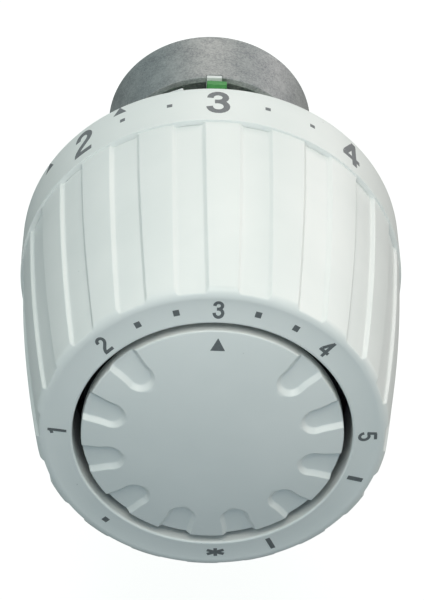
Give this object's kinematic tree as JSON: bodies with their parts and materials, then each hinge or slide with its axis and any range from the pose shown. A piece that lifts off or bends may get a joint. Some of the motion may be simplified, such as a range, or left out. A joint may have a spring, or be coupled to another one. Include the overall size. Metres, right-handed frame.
{
  "type": "thermostatic radiator valve sensor head",
  "caption": "Round thermostatic sensor head: fluted dial knob, fixed notched front disc, vented rear cone and clamp collar for a valve neck.",
  "frame": {"origin": "centre of the pressure spindle's end face, on the valve axis, at the rest setting", "axes": "+Y along the axis towards the valve, -Y towards the dial, +Z through the top of the dial, +X to the right seen from the front"},
  "size_m": [0.05, 0.0732, 0.05],
  "materials": {
    "white_plastic": "satin moulded",
    "green_plastic": "satin moulded",
    "grey_plastic": "satin moulded",
    "cast_metal": "tumbled die casting",
    "bright_metal": "drawn",
    "spring_steel": "plain",
    "copper_alloy": "drawn"
  },
  "bodies": {
    "housing": {"base_housing": "white_plastic", "collar": "cast_metal", "collar_circlip": "spring_steel", "inner_cage": "grey_plastic", "front_disc": "white_plastic", "spindle_guide": "grey_plastic", "base_screw_1": "spring_steel", "base_screw_2": "spring_steel", "base_screw_3": "spring_steel"},
    "knob": {"setting_knob": "white_plastic", "adjusting_nut": "grey_plastic", "knob_retaining_ring": "spring_steel"},
    "carrier": {"sensor_carrier": "grey_plastic", "carrier_cap": "grey_plastic", "overtravel_spring": "spring_steel"},
    "sensor": {"sensor_can": "bright_metal", "sensor_end_plate": "bright_metal", "filling_tube": "copper_alloy", "bellows": "copper_alloy", "spring_seat": "bright_metal", "return_spring": "spring_steel"},
    "spindle": {"pressure_spindle": "bright_metal"},
    "shoe": {"clamp_shoe": "bright_metal"},
    "screw": {"clamp_screw": "spring_steel"},
    "green_ring": {"limit_ring_green": "green_plastic"},
    "white_ring": {"limit_ring_white": "white_plastic"}
  },
  "joints": [
    {"name": "knob_turn", "type": "hinge", "parent": "housing", "child": "knob", "pos_m": [0, -0.046, 0], "axis": [0, -1, 0], "range_deg": [-202.5, 112.5]},
    {"name": "carrier_slide", "type": "slide", "parent": "housing", "child": "carrier", "axis": [0, -1, 0], "range_m": [-0.00226, 0.00126]},
    {"name": "sensor_overtravel", "type": "slide", "parent": "carrier", "child": "sensor", "axis": [0, -1, 0], "range_m": [0, 0.0015], "deforming": ["overtravel_spring"]},
    {"name": "spindle_stroke", "type": "slide", "parent": "sensor", "child": "spindle", "axis": [0, 1, 0], "range_m": [0, 0.0025], "deforming": ["bellows", "return_spring"]},
    {"name": "shoe_slide", "type": "slide", "parent": "housing", "child": "shoe", "axis": [0, 0, 1], "range_m": [0, 0.00097]},
    {"name": "clamp_screw_turn", "type": "hinge", "parent": "shoe", "child": "screw", "pos_m": [0, 0.0012, -0.0165], "axis": [0, 0, 1], "range_deg": [0, 500]},
    {"name": "green_ring_turn", "type": "hinge", "parent": "housing", "child": "green_ring", "pos_m": [0, -0.0062, 0], "axis": [0, -1, 0], "range_deg": [-110, 110]},
    {"name": "white_ring_turn", "type": "hinge", "parent": "housing", "child": "white_ring", "pos_m": [0, -0.0076, 0], "axis": [0, -1, 0], "range_deg": [-110, 110]}
  ],
  "couplings": [
    {"joint": "carrier_slide", "follows": "knob_turn", "m_per_rad": 0.00063662},
    {"joint": "clamp_screw_turn", "follows": "shoe_slide", "rad_per_m": 8975}
  ]
}
